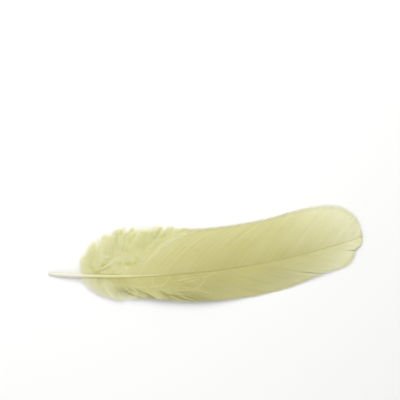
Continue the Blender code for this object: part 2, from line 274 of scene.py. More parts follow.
# Length, distance apart and thickness of their hairs, as shares of the down's
WISP_HAIRS = {BROAD: (0.40, 1.0, 0.9), NARROW: (0.42, 1.6, 0.7)}
WISP_APART = 0.0002  # how far their places are moved by chance
WISPS = {
    BROAD: (
        ((27.5, 3.0), (31.0, 5.5), (35.5, 6.0), (38.0, 8.0)),
        ((29.5, 4.0), (34.5, 6.5), (36.5, 7.5), (40.5, 10.0)),
        ((32.5, 6.5), (36.0, 8.5), (39.0, 10.5), (43.0, 12.0)),
        ((32.0, 11.5), (33.5, 11.0), (35.0, 10.0), (37.0, 11.0)),
        ((27.0, 10.5), (26.5, 8.5), (26.0, 5.5), (28.0, 4.0)),
        ((35.5, 3.5), (39.0, 4.5), (41.0, 6.0), (43.0, 7.5)),
        ((47.5, 6.0), (52.5, 6.0), (54.5, 7.5), (58.0, 9.0)),
        ((45.5, 9.0), (47.0, 11.0), (51.0, 10.5), (52.5, 13.5)),
        ((53.5, 8.5), (54.5, 11.0), (58.5, 11.5), (59.0, 20.5)),
        ((50.5, 13.0), (51.5, 15.5), (52.0, 17.0), (51.0, 20.5)),
        ((37.0, 13.5), (36.5, 17.0), (36.5, 20.0), (38.0, 23.5)),
        ((40.5, 12.5), (42.5, 14.0), (41.5, 18.0), (45.0, 21.0)),
        ((29.0, 13.5), (31.0, 15.5), (34.0, 15.0), (35.5, 14.0)),
        ((65.0, 15.5), (70.0, 16.0), (73.5, 22.5), (85.5, 23.5)),
        ((65.5, 16.5), (69.5, 18.0), (72.0, 19.5), (79.5, 22.5)),
        ((65.5, 15.0), (70.0, 17.5), (77.0, 22.5), (91.5, 23.5)),
    ),
    NARROW: (
        ((42.5, 4.0), (47.5, 6.5), (50.0, 6.5), (55.0, 7.0)),
        ((58.0, 0.0), (58.0, 2.0), (58.0, 4.0), (57.5, 6.0)),
        ((55.0, 6.5), (59.5, 6.5), (64.0, 6.5), (66.0, 3.5)),
        ((65.0, 4.5), (67.0, 2.5), (67.0, 1.0), (70.0, -0.5)),
        ((70.0, 3.5), (75.0, 4.0), (78.0, 2.0), (84.5, 3.0)),
        ((72.0, 5.5), (76.0, 5.5), (80.0, 4.5), (84.0, 4.0)),
        ((80.0, 9.0), (84.5, 8.5), (85.0, 6.5), (87.5, 4.5)),
        ((85.5, 4.0), (89.0, 3.0), (90.5, 1.5), (94.0, 1.5)),
        ((69.0, 9.0), (76.0, 9.5), (84.0, 9.0), (89.5, 14.0)),
        ((74.5, 8.0), (77.0, 8.5), (81.0, 9.0), (84.0, 10.0)),
        ((53.0, 9.0), (56.5, 9.5), (58.5, 12.5), (62.0, 13.0)),
        ((43.0, 8.5), (45.0, 9.0), (46.5, 11.5), (47.5, 13.0)),
        ((64.5, 10.0), (69.0, 10.5), (72.5, 12.0), (78.0, 12.5)),
        ((59.0, 8.5), (62.0, 8.0), (66.0, 8.5), (68.5, 10.0)),
    ),
}

# Corners of a section, as (across, up): a barb's in widths of a web and half heights of its rib, and
# a hair's in radii
SECTION = ((1.0, 0.0), (0.38, 0.35), (0.0, 1.0), (-0.38, 0.35), (-1.0, 0.0), (0.0, -1.0))
HAIR_SECTION = ((1.0, -0.2), (0.0, 0.4), (-1.0, -0.2))
SHARP = math.radians(70)  # a mesh's edges are sharp above this angle

# A barb's rib and the webs beside it
RIB = 0.30  # half height at the edge, as a share of the barb's thickness
RIB_AT_SHAFT = 0.30  # and how much more it is at the shaft
LOOSE_RIB = 0.35  # how much lower a loose barb's rib is
RIB_ENDS = (0.7, 1.0)  # shares of a barb between which it gets lower by the next value
RIB_LOWER = 0.6
WEB = 0.72  # a web's width, as a share of the space between two barbs
LEAST_WEB = 0.7  # and the least, as a share of the rib's half height
WEB_ENDS = (0.80, 1.0)  # shares of a barb between which the web gets narrower by the next value
WEB_NARROWER = 0.85
WEB_OPENS = (0.40, 1.0)  # and how loose a barb is where it narrows down to the least
WEB_TILT = math.radians(7.0)  # lays each web over the next barb's

# Hairs on the loose barbs, and the strands that carry them
NEAR_END = -3  # the step of a barb, counted from its end, where it has to be
LOOSE_ENOUGH = 0.05  # at least this loose to have hairs
HAIR_PLACES = (0.1, 0.9)  # where a hair may be in its stretch of the barb
HAIRY = (0.0, 0.5)  # there are none at the first looseness, and all from the second on
SHADED_BARE = 0.8  # share of them that is missing in the shade
CLEAR_OF_SHAFT = 0.8  # as a share of the shaft's radius
HAIR_SPREAD = (56.0, 14.0)  # angle from the barb in degrees: its mean, and how far it strays
HAIR_RISE = (4.0, 13.0)  # the same for the angle upwards
HAIR_BEND = 0.4  # share of a hair before its bend
HAIR_TURN = (10.0, 44.0)  # least and most angle of that bend, in degrees
HAIR_LENGTHS = (0.7, 1.15)  # least and most length, as shares of the one set
HAIR_SHORTER = 0.5  # how much shorter it is at the barb's end
SHORT_BARB = 0.011  # a barb shorter than this has shorter hairs
SHORTEST_HAIR = 0.3  # down to this share
HAIR_TONE = 0.3  # how far a hair's tone strays from its barb's
STRAND_RADIUS = 0.34  # radius of a barb of down, as a share of the barb's thickness
STRAND_TAPER = 0.18  # and how much smaller that share is at its end

# Each strand has its own cell of its piece's map, in so many columns
CELL_MARGIN = 0.06
COLUMNS = {"barbs": 40, "hairs": 128, "strands": 16, "quill": 1}

# Places along the feather, as X, between which the colour of its barbs changes: the dye, and the
# painted shade next to the shaft, over the narrow vane's band and next to its down
TO_TIP = (0.018, 0.088)
TO_QUILL = (-0.005, -0.045)
INSIDE_DULLS = (-0.062, 0.004)
INSIDE_BRIGHTENS = (0.080, 0.040)
BAND_DULLS = (-0.062, -0.010)
BAND_BRIGHTENS = (0.020, -0.004)
BASE_DULLS = (-0.040, -0.050)
DOWN_WHITENS = (-0.040, -0.066)

# How much of the edge's paler colour the barbs of the vanes get, besides all of it at the tip
PALE_EDGE = 0.30
PALE_QUILL = 0.42
PALE_PATCHES = 0.5
PALE_LOOSE = 0.3

# Powers for the changes outwards, to the tip and inwards: above 1, they come late on the way
OUTWARD_POWER = 1.5
TIPWARD_POWER = 1.4
INWARD_POWER = 1.3

# How single barbs and their parts differ
LIGHT_BARBS = 0.20  # how much the lightest barb gets of a lighter colour
LIGHTER = 1.06  # which is the edge's, times this
DARK_BARBS = 0.18  # how much the darkest barb gets of a darker one
DARK_WEBS = 0.05  # and how much more its webs get
DARKER = 0.84  # which is the vane's, times this
SHADE = 0.75  # how much of the shaft's colour the shaded strands get
CREASE_SHADE = (1.8, 0.5)  # distances from the shaft in millimetres: painted shade in the crease darkens between them
CREASE_SHADE_FADE = 0.7  # how much weaker that painted shade is at the tip
HAIR_LINES = 42.0  # angle to the millimetre, whose sine gives the lines that a barb's hairs make
HAIR_LINES_SLANT = 0.09  # in millimetres from the web's edge to the rib

# The down's hairs in the same way, with shares of the barb at which a hair grows
LIGHT_HAIRS = 0.5
DARK_HAIRS = 0.20
DARKER_DOWN = 0.80
DEEP_PATCHES = (0.50, 0.66)  # values of a noise between which the dye gets deeper
DEEP_FADE = 0.8  # how much of that is gone at the end of the barb
DOWN_CREASE_SHADE = (0.2, 0.0)  # painted shade: the down darkens to the shaft between these shares of the barb
WHITE_AT_SHAFT = 0.5  # share of the whitening at the shaft, which is 1 more at the barb's end

# What differs between the two vanes' dye and painted shade: a factor for the vane, edge and inner
# colours, how dull it is next to the shaft (partly dye, partly painted shade), over the band and next
# to the down (both painted shade), and how dark the painted shade in the crease is
VANE_DYES_AND_SHADE = {
    BROAD: {"factor": 0.97, "inside": 1.1, "band": 0.0, "base": 0.0, "crease_shade": 0.0},
    NARROW: {"factor": 1.05, "inside": 0.85, "band": 0.65, "base": 0.8, "crease_shade": 0.55},
}
# And between their down and their loose barbs: how white it gets next to the quill and everywhere,
# and how dark its painted shade next to the shaft is
DOWN_DYES_AND_SHADE = {
    BROAD: {"at_quill": 0.15, "everywhere": 0.0, "crease_shade": 0.0},
    NARROW: {"at_quill": 0.5, "everywhere": 0.0, "crease_shade": 0.7},
}
WISP_DYES = {
    BROAD: {"at_quill": 0.3, "everywhere": 0.55, "crease_shade": 0.0},
    NARROW: {"at_quill": 0.3, "everywhere": 0.0, "crease_shade": 0.0},
}

# Horn of the quill and shaft: shares of the feather's length between which its colour changes
HORN_TO_DOWN = (0.07, 0.16)
HORN_TO_VANES = (0.25, 0.40)
HORN_TO_TIP = (0.60, 0.95)
HORN_TIP = 0.95  # how much of the colour between the down comes back at the tip
FIBRES = (0.35, 0.75)  # values of a noise between which the horn gets darker
DARK_FIBRES = 0.16  # by this much of the shaft's colour
FIBRE_SHADE = 0.9  # times this
CLOUDS = (0.4, 0.8)  # and between which it gets lighter
LIGHT_CLOUDS = 0.12  # by this much of the quill's colour
CLOUD_LIGHT = 1.1  # times this

# Floor, light and camera
FLOOR_WIDTH = 3.0
FLOOR_GRAIN = 0.985  # the darkest grain of the card, as a share of its colour
SKY_LIGHT = 0.445  # strength of the white light from all sides
LAMPS = {  # place, width and power in watts: each points at the origin
    "key": ((-0.08, 0.44, 0.60), 0.55, 4.55),
    "fill": ((-0.30, -0.55, 0.60), 0.9, 2.7),
}
CAMERA_PLACE = (0.0005, 0.0337, 1.249)
CAMERA_TURN = math.radians(-6.73)  # about the vertical: it looks straight down
CAMERA_LENS = 200.0  # in millimetres, as is the sensor
CAMERA_SENSOR = 36.0
CAMERA_NEAR = 0.01  # nothing closer than this is drawn


class FeatherSizes(PropertyGroup):
    """Sizes of the barbs and the down"""

    barb_spacing: FloatProperty(
        name="Barb spacing",
        description="Distance between two barbs, along the shaft",
        default=0.0004,
        min=0.0002,
        unit="LENGTH",
        precision=5,
    )
    barb_thickness: FloatProperty(
        name="Barb thickness",
        description="About how thick a barb is where it leaves the shaft",
        default=0.00011,
        unit="LENGTH",
        precision=5,
    )
    barbule_spacing: FloatProperty(
        name="Barbule spacing",
        description="Distance between the fine hairs along a barb of down",
        default=0.00011,
        min=0.00005,
        unit="LENGTH",
        precision=5,
    )
    barbule_length: FloatProperty(
        name="Barbule length",
        description="Length of the fine hairs on a barb of down",
        default=0.0024,
        unit="LENGTH",
        precision=5,
    )
    barbule_radius: FloatProperty(
        name="Barbule radius",
        description="Radius of the fine hairs on a barb of down",
        default=0.000026,
        unit="LENGTH",
        precision=6,
    )
    seed: IntProperty(
        name="Seed",
        description="Starts the small random differences between the barbs",
        default=8,
        min=0,
    )


class FeatherColours(PropertyGroup):
    """Colours of the dyed feather"""

    vane: FloatVectorProperty(
        name="Vane",
        description="Colour of the barbs at the middle of the feather",
        default=(0.755, 0.72, 0.275),
        size=3,
        subtype="COLOR",
    )
    # Partly the dye and partly painted shade: painted shade next to the shaft and on the narrow vane
    # mixes towards this colour
    inner: FloatVectorProperty(
        name="Inner vane",
        description="Colour of the barbs next to the shaft, halfway along the feather",
        default=(0.60, 0.555, 0.195),
        size=3,
        subtype="COLOR",
    )
    edge: FloatVectorProperty(
        name="Vane edge",
        description="Colour of the barbs towards the tip and the edges, where the dye is paler",
        default=(0.94, 0.93, 0.65),
        size=3,
        subtype="COLOR",
    )
    down: FloatVectorProperty(
        name="Down",
        description="Colour of the down",
        default=(0.97, 0.955, 0.53),
        size=3,
        subtype="COLOR",
    )
    light_down: FloatVectorProperty(
        name="Light down",
        description="Colour of the lightest single hairs of the down",
        default=(0.97, 0.965, 0.66),
        size=3,
        subtype="COLOR",
    )
    white_down: FloatVectorProperty(
        name="White down",
        description="Colour of the down that took least dye, next to the quill and over the broad vane",
        default=(0.97, 0.97, 0.82),
        size=3,
        subtype="COLOR",
    )
    deep: FloatVectorProperty(
        name="Deeper dye",
        description="Colour of the patches of down that took more dye",
        default=(0.82, 0.79, 0.25),
        size=3,
        subtype="COLOR",
    )
    quill: FloatVectorProperty(
        name="Quill",
        description="Colour of the bare quill",
        default=(0.72, 0.71, 0.61),
        size=3,
        subtype="COLOR",
    )
    ridge: FloatVectorProperty(
        name="Shaft by the down",
        description="Colour of the shaft between the down",
        default=(0.605, 0.585, 0.28),
        size=3,
        subtype="COLOR",
    )
    # Partly the horn's own colour and partly painted shade of the groove between the vanes; painted
    # shade on the barbs takes this colour too
    shaft: FloatVectorProperty(
        name="Shaft",
        description="Colour of the shaft between the closed vanes",
        default=(0.42, 0.39, 0.125),
        size=3,
        subtype="COLOR",
    )
    floor: FloatVectorProperty(
        name="Floor",
        description="Colour of the floor",
        default=(0.85, 0.85, 0.845),
        size=3,
        subtype="COLOR",
    )


def smoothstep(low, high, x):
    """Rises from 0 at low to 1 at high: three times the share's square, less twice its cube."""
    share = np.clip((x - low) / (high - low), 0.0, 1.0)
    return share * share * (3.0 - 2.0 * share)


def unit(vectors):
    """Vectors divided by their lengths."""
    return vectors / np.linalg.norm(vectors, axis=-1, keepdims=True)


def random_draws(sizes, kind, side):
    """Random numbers for one kind of thing on one side, the same in each run."""
    return np.random.default_rng(sizes.seed + SEEDS[kind] + side)


def soft_noise(rng, shape, cells):
    """Smooth random values from -1 to 1 on a grid: coarse random values, blended by smoothstep."""
    values = rng.uniform(-1.0, 1.0, (cells[0] + 2, cells[1] + 2))
    for axis in (0, 1):
        at = np.linspace(0.0, cells[axis], shape[axis])
        low = at.astype(int)
        share = smoothstep(0.0, 1.0, at - low)
        share = share[:, None] if axis == 0 else share
        values = np.take(values, low, axis) * (1.0 - share) + np.take(values, low + 1, axis) * share
    return values


def shaft_radius(along):
    """Radius of the quill or shaft: the quill widens from its end, and the shaft thins to the tip.

    Smoothstep widens the quill and passes it into the shaft, and the shaft thins by a power of the
    distance.
    """
    widened = smoothstep(0.0, QUILL_END_LENGTH, along)
    quill = QUILL_END_RADIUS + (QUILL_RADIUS - QUILL_END_RADIUS) * widened
    share = np.clip((along - BARE_QUILL) / (SHAFT_END - BARE_QUILL), 0.0, 1.0)
    shaft = SHAFT_BASE_RADIUS + (SHAFT_TIP_RADIUS - SHAFT_BASE_RADIUS) * share**SHAFT_TAPER
    return quill + (shaft - quill) * smoothstep(*QUILL_TO_SHAFT, along / BARE_QUILL)


def shaft_centre(along):
    """Middle of the shaft.

    From above it is a parabola. From the side it is the straight line between its ends, with an arch
    on it: the share of the length, less its cube.
    """
    t = along / LENGTH
    y = CENTRE_SHIFT - 4.0 * SIDE_BOW * t * (1.0 - t)
    ends = QUILL_END_HEIGHT * (1.0 - t) + TIP_HEIGHT * t
    highest = 2.0 / (3.0 * math.sqrt(3.0))  # of t - t**3
    return np.stack([along - LENGTH / 2, y, ends + ARCH / highest * (t - t**3)], axis=-1)


def edge_points(edge, shares):
    """Points at these shares of an edge's length, on a smooth curve through its corners.

    From corner to corner it is a cubic, with half the step between a corner's neighbours as its
    slope there.
    """
    corners = np.array(edge)
    ends = 2.0 * corners[[0, -1]] - corners[[1, -2]]
    padded = np.vstack([ends[:1], corners, ends[1:]])
    t = np.linspace(0.0, 1.0, EDGE_STEPS, endpoint=False)[:, None]
    pieces = []
    for a, b, c, d in zip(padded, padded[1:], padded[2:], padded[3:]):
        turn = a - 2.5 * b + 2.0 * c - 0.5 * d
        twist = 1.5 * (b - c) + 0.5 * (d - a)
        pieces.append(b + 0.5 * t * (c - a) + t**2 * turn + t**3 * twist)
    line = np.vstack([*pieces, corners[-1:]])
    lengths = np.append(0.0, np.cumsum(np.linalg.norm(np.diff(line, axis=0), axis=1)))
    wanted = shares * lengths[-1]
    return np.interp(wanted, lengths, line[:, 0]), np.interp(wanted, lengths, line[:, 1])


def barb_plan(side, roots, steps):
    """Barbs seen from above, [barb, step, xy].

    Each is a quadratic curve that leaves the shaft at its root angle and bends forward to its place
    on the edge. The steps are shares of it, [barb, step].
    """
    along = BARE_QUILL + (SHAFT_END - BARE_QUILL) * roots
    root = shaft_centre(along)[:, :2]
    edge_along, edge_width = edge_points(EDGES[side], np.interp(roots, ROOT_SHARES, EDGE_SHARES[side]))
    end = shaft_centre(edge_along)[:, :2]
    end[:, 1] += side * edge_width
    slope = -4.0 * SIDE_BOW / LENGTH * (1.0 - 2.0 * along / LENGTH)
    ahead = unit(np.stack([np.ones_like(slope), slope], axis=-1))
    aside = side * np.stack([-ahead[:, 1], ahead[:, 0]], axis=-1)
    angle = np.radians(np.interp(roots, ROOT_SHARES, ROOT_DEGREES[side]))[:, None]
    reach = 0.5 * np.linalg.norm(end - root, axis=1, keepdims=True)
    bend = root + reach * (np.cos(angle) * ahead + np.sin(angle) * aside)
    v = steps[..., None]
    return (1.0 - v) ** 2 * root[:, None] + 2.0 * v * (1.0 - v) * bend[:, None] + v**2 * end[:, None]


def vane_height(x, y):
    """Height of the barbs: just below the shaft's top there, and curving down to the surface outwards.

    The drop is a power of the distance from the shaft, as a share of the vane's reach. The broad
    vane has sine waves that start at the shaft, and a smooth maximum keeps both off the surface.
    """
    along = np.clip(x + LENGTH / 2, 0.0, LENGTH)
    centre = shaft_centre(along)
    t = along / LENGTH
    proud = PROUD_AT_BASE + (PROUD_AT_TIP - PROUD_AT_BASE) * smoothstep(*PROUD_SHARES, t)
    top = centre[..., 2] + shaft_radius(along) - proud
    broad = np.maximum(y - centre[..., 1], 0.0) / REACH[BROAD]
    narrow = np.maximum(centre[..., 1] - y, 0.0) / REACH[NARROW]
    lift = NARROW_LIFT * smoothstep(*NARROW_RISES, t) * (1.0 - smoothstep(*NARROW_LANDS, t))
    drop = (top + LANDING) * (broad ** BEND[BROAD] + (1.0 - lift) * narrow ** BEND[NARROW])
    wave = WAVE * np.sin(2.0 * math.pi * (along / WAVE_LENGTH + WAVE_SLANT * broad))
    inside = np.clip(broad, 0.0, 1.0)
    free = top - drop + wave * inside * (1.0 - WAVE_FADE * inside) - LOWEST
    return LOWEST + 0.5 * (free + np.sqrt(free**2 + SOFT_LANDING**2))


def lock_borders(side):
    """Where each border between two locks opens, as a share of its barbs, and its gap at the edge.

    Both are read off lines over the shaft, and differ evenly from border to border, by the fraction
    of its number times the golden ratio.
    """
    border = np.arange(LOCKS + 1)
    root = (border / LOCKS) ** CROWDING
    spread = (border * GOLDEN + SIDE_SPREAD * (side == BROAD)) % 1.0
    fork = np.interp(root, FORK_ROOTS, FORKS) + FORK_UNEVEN * (spread - 0.5)
    gap = np.interp(root, GAP_ROOTS, GAPS) * (LEAST_GAP + spread**2)
    for deep, (opens, wide) in DEEP_SPLITS[side].items():
        fork[deep] = opens
        gap[deep] = wide
    return fork, gap


def barb_row(sizes, side, under):
    """One row of barbs, evenly along the shaft, with their places in the locks and in tufts.

    A lock's number is a power of the share of the shaft. Each barb may start a new tuft, by chance,
    and the barbs of a tuft have the random values own, lean and phase in common. The values hair and
    fine are the length and the thickness of the hairs, as shares of the sizes set.
    """
    rng = random_draws(sizes, "under_barbs" if under else "barbs", side)
    reach = UNDER_SHARE if under else 1.0
    count = int((SHAFT_END - BARE_QUILL) * reach / sizes.barb_spacing)
    roots = np.linspace(0.0, reach, count)
    out = np.tile(np.linspace(0.0, 1.0, BARB_STEPS[side]), (count, 1))
    ends = barb_plan(side, roots, out[:, [0, -1]])
    number = np.arange(count)
    tuft = np.cumsum(rng.uniform(0.0, 1.0, count) < 1.0 / TUFT)
    own, lean, phase = rng.uniform(-1.0, 1.0, (3, count))[:, tuft, None]
    lock = (roots ** (1.0 / CROWDING) * LOCKS).clip(0.0, LAST_LOCK)
    border = lock.astype(int)
    return SimpleNamespace(
        side=side,
        under=under,
        rng=rng,
        roots=roots,
        out=out,
        length=np.linalg.norm(ends[:, 1] - ends[:, 0], axis=1)[:, None],
        downy=np.ones((count, 1)) if under else 1.0 - smoothstep(*DOWN_SHARES[side], roots)[:, None],
        from_tuft=(np.bincount(tuft, number)[tuft] / np.bincount(tuft)[tuft] - number)[:, None],
        own=own,
        lean=lean + LEAN[side],
        phase=phase,
        lock=lock,
        border=border,
        share=(lock - border)[:, None],
        hair=1.0,
        hair_spacing=sizes.barbule_spacing * (UNDER_SPACING if under else 1.0),
        fine=1.0,
    )


def row_noise(row, size, barbs, cells):
    """Soft noise over a row of barbs, with one cell to so many barbs and so many cells along them."""
    count = len(row.roots)
    return size * soft_noise(row.rng, row.out.shape, (int(count / barbs), cells))


def barb_curves(row):
    """Middle lines of the barbs, [barb, step, xyz]: their plan at the vane's height, but shorter.

    What they are shortened by grows with the square of the distance from the middle of their lock,
    and by chance.
    """
    sides = (2.0 * row.share - 1.0) ** 2
    vane = (TUCK * sides + SHORTER) / row.length
    down = DOWN_TUCK * sides + DOWN_SHORTER
    chance = OWN_LENGTH * row.rng.uniform(0.0, 1.0, row.length.shape) + TUFT_LENGTH * row.own
    uneven = UNEVEN + DOWN_UNEVEN * row.downy + UNDER_UNEVEN * row.under
    shorter = vane * (1.0 - row.downy) + row.downy * down + uneven * np.abs(chance)
    plan = barb_plan(row.side, row.roots, row.out * (1.0 - shorter * row.out))
    lines = np.dstack([plan, vane_height(plan[..., 0], plan[..., 1])])
    if row.under:
        lines[..., 2] = LOWEST + UNDER_HEIGHT * (lines[..., 2] - LOWEST)
    return lines


def barb_looseness(row):
    """From 0 to 1 along each barb, by smoothstep round the place from which it is loose."""
    turn = np.sin(row.border * LOOSE_TURN + row.side)[:, None]
    start = LOOSE_FROM - LOOSE_SOONER * row.downy**LOOSE_POWER + LOOSE_UNEVEN * turn * row.downy
    return smoothstep(-LOOSE_SOFT, LOOSE_SOFT, row.out - start)


def barb_directions(lines):
    """Directions across each barb and up from the row's surface, and how far apart the barbs are.

    Up is the cross product of the steps to the next barb and along the barb.
    """
    ahead = unit(np.gradient(lines, axis=1))
    beside = np.gradient(lines, axis=0)
    up = np.cross(beside, ahead)
    up = unit(up * np.sign(up[..., 2:]))
    across = np.cross(up, ahead)
    return across, up, np.abs(np.sum(beside * across, axis=-1))


def barb_shift(row):
    """How far the barbs move towards the tip.

    They draw back from an open border by the square of their nearness to it, draw together in
    tufts, swerve by soft noise, and the loose ones lean and curl as a sine of the distance.
    """
    fork, gap = lock_borders(row.side)

    def parted(border):
        opens = fork[border][:, None]
        return gap[border][:, None] * np.clip((row.out - opens) / (1.0 - opens), 0.0, 1.0)

    shift = 0.5 * (parted(row.border) * (1.0 - row.share) ** 2 - parted(row.border + 1) * row.share**2)
    gathered = GATHER * row.from_tuft * row.spacing * row.loose
    shift = shift + gathered * np.minimum(row.out / GATHER_BY, 1.0)
    shift += row_noise(row, *SWERVE) * row.out
    shift += row_noise(row, *TANGLE) * row.out * row.loose
    turns = row.out * row.length / CURL_LENGTH + row.phase
    sway = SWAY[row.side] * row.lean * row.out
    shift += (sway + CURL * np.sin(2.0 * math.pi * turns)) * row.out * row.loose
    return shift


def barb_rise(row):
    """How far the barbs stand up from the vane.

    The middle of a lock is a ridge, a parabola across it and a sine along it. Soft noise adds small
    waves, and the down rises with the square of the distance, each tuft by its own amount.
    """
    along = np.sin(math.pi * np.minimum(row.out / LOCK_RIDGE_END, 1.0))
    rise = LOCK_RIDGE * 4.0 * row.share * (1.0 - row.share) * along
    rise = rise + row_noise(row, *RIPPLE) * np.minimum(row.out / RIPPLE_FROM, 1.0)
    rise += row_noise(row, *SWELL) * row.out
    turn = np.sin(FLUFF_TURN * row.lock + row.side)[:, None]
    fluff = FLUFF + FLUFF_WAVE * turn + FLUFF_UNEVEN * row.own
    fluff = fluff.clip(*FLUFF_RANGE) * (UNDER_FLUFF if row.under else 1.0)
    long = np.minimum(row.length / REACH[BROAD], 1.0)
    rise += DOWN_LIFT * row.downy * fluff * long**2 * row.out**2
    if row.side == BROAD and not row.under:
        rise += split_rise(row)
    return rise


def split_rise(row):
    """A ridge past the broad vane's deep split, and a dip before it.

    Across the barbs each is half a bell curve, and along them a power of a sine.
    """
    past = row.lock[:, None] - RIDGE_LOCK
    ridge = np.where(past > 0.0, SPLIT_RIDGE * np.exp(-((past / SPLIT_RIDGE_LOCKS) ** 2)), 0.0)
    dip = np.where(past < 0.0, SPLIT_DIP * np.exp(-((past / SPLIT_DIP_LOCKS) ** 2)), 0.0)
    return (ridge - dip) * np.sin(math.pi * np.minimum(row.out / SPLIT_END, 1.0)) ** SPLIT_POWER


def barb_tone(row):
    """Tones of the barbs, about -1 to 1: soft noise of two sizes, and each barb's and tuft's own."""
    tone = row_noise(row, *FINE_TONES) + row_noise(row, *WIDE_TONES)
    tone = tone + OWN_TONE * row.rng.uniform(-1.0, 1.0, row.length.shape)
    return tone + TUFT_TONE * row.own * row.loose


def barb_shade(row):
    """How far the narrow vane's barbs lie in shade next to its down, from soft noise of strands."""
    if row.side == BROAD:
        return np.zeros(row.out.shape)
    zone = smoothstep(*STRANDS_RISE, row.roots) * (1.0 - smoothstep(*STRANDS_FALL, row.roots))
    depth = smoothstep(*STRAND_SHADES, row_noise(row, *STRANDS))
    return zone[:, None] * smoothstep(*STRANDS_OUT, row.out) * depth


def barb_lines(sizes, side, under=False):
    """Middle lines of the barbs on one side of the shaft, and what varies along them.

    The plan and the vane's height give each line. Then the barbs of a lock draw together where locks
    part, the middle of a lock stands up a little, and the loose ones wave and rise more the further
    out they are. Those of the down under the vane are all loose, and lie closer to the surface.
    """
    row = barb_row(sizes, side, under)
    row.lines = barb_curves(row)
    row.loose = barb_looseness(row)
    row.across, row.up, row.spacing = barb_directions(row.lines)
    shift = barb_shift(row)[..., None]
    rise = barb_rise(row)[..., None]
    row.lines = row.lines - side * row.across * shift + row.up * rise
    row.tone = barb_tone(row)
    row.shaded = barb_shade(row)
    row.lines[..., 2] = np.maximum(row.lines[..., 2] - STRAND_DIP * row.shaded, LOWEST)
    return row


def wisp_lines(sizes, side):
    """Loose barbs of down that lie over a vane: cubic curves between places on it."""
    rng = random_draws(sizes, "wisp_lines", side)
    places = np.array(WISPS[side]) * MM
    places = places + WISP_APART * rng.uniform(-1.0, 1.0, places.shape)
    first, second, third, last = np.moveaxis(places, 1, 0)[:, :, None]
    v = np.linspace(0.0, 1.0, WISP_STEPS)[None, :, None]
    spot = (1.0 - v) ** 3 * first + 3.0 * v * (1.0 - v) ** 2 * second
    spot = spot + 3.0 * v**2 * (1.0 - v) * third + v**3 * last
    x, y, _ = np.moveaxis(shaft_centre(spot[..., 0]), -1, 0)
    y = y + side * spot[..., 1]
    share = (spot[..., 0] - BARE_QUILL) / (SHAFT_END - BARE_QUILL)
    lift = WISP_LIFT + WISP_OVER_DOWN * (1.0 - smoothstep(*DOWN_SHARES[side], share))
    lines = np.stack([x, y, vane_height(x, y) + lift], axis=-1)
    everywhere = np.ones(lines.shape[:2])
    hair, apart, fine = WISP_HAIRS[side]
    return SimpleNamespace(
        lines=lines,
        up=np.broadcast_to((0.0, 0.0, 1.0), lines.shape),
        loose=everywhere,
        out=everywhere,
        tone=WISP_TONE * everywhere,
        shaded=0.0 * everywhere,
        length=np.linalg.norm(np.diff(lines, axis=1), axis=-1).sum(axis=1)[:, None],
        hair=hair,
        hair_spacing=sizes.barbule_spacing * apart,
        fine=fine,
    )


def loft(rings, starts, ends, columns, shades):
    """Closed strands: a section carried along each strand's line, closed to a point at each end.

    rings is [strand, step, corner, xyz], with the corners running from across to up. Each strand
    gets its own cell of a map, where u runs round its section and v along it, and shades are numbers
    for the finish, one for each ring's corner.
    """
    strands, steps, corners, _ = rings.shape
    ring = np.arange(strands * steps * corners).reshape(strands, steps, corners)
    turned = np.roll(ring, -1, axis=2)
    first = ring.size + np.arange(strands)[:, None] + 0 * ring[:, 0]
    last = first + strands
    quads = np.stack([ring[:, :-1], turned[:, :-1], turned[:, 1:], ring[:, 1:]], axis=-1)
    heads = np.stack([first, turned[:, 0], ring[:, 0]], axis=-1)
    tails = np.stack([ring[:, -1], turned[:, -1], last], axis=-1)

    inside = 1.0 - 2.0 * CELL_MARGIN
    cell = np.arange(strands)[:, None, None]
    rows = math.ceil(strands / columns)

    def place(step, corner):
        u = cell % columns + CELL_MARGIN + inside * corner / corners
        v = cell // columns + CELL_MARGIN + inside * (step + 1) / (steps + 1)
        return np.stack(np.broadcast_arrays(u / columns, v / rows), axis=-1)

    step = np.arange(steps - 1)[None, :, None]
    corner = np.arange(corners)[None, None, :]
    around = [place(step + ahead, corner + aside) for ahead, aside in ((0, 0), (0, 1), (1, 1), (1, 0))]
    head = [place(-1, corner + 0.5), place(0, corner + 1), place(0, corner)]
    tail = [place(steps - 1, corner), place(steps - 1, corner + 1), place(steps, corner + 0.5)]
    places = [np.stack(group, axis=-2).reshape(-1, 2) for group in (around, head, tail)]
    flat = {}
    for name, values in shades.items():
        values = np.broadcast_to(values, (strands, steps, corners))
        flat[name] = np.concatenate([values.ravel(), values[:, 0].mean(1), values[:, -1].mean(1)])
    return SimpleNamespace(
        points=np.concatenate([rings.reshape(-1, 3), starts, ends]),
        loops=np.concatenate([quads.ravel(), heads.ravel(), tails.ravel()]),
        counts=np.repeat([4, 3], [quads.size // 4, (heads.size + tails.size) // 3]),
        places=np.concatenate(places),
        shades=flat,
    )


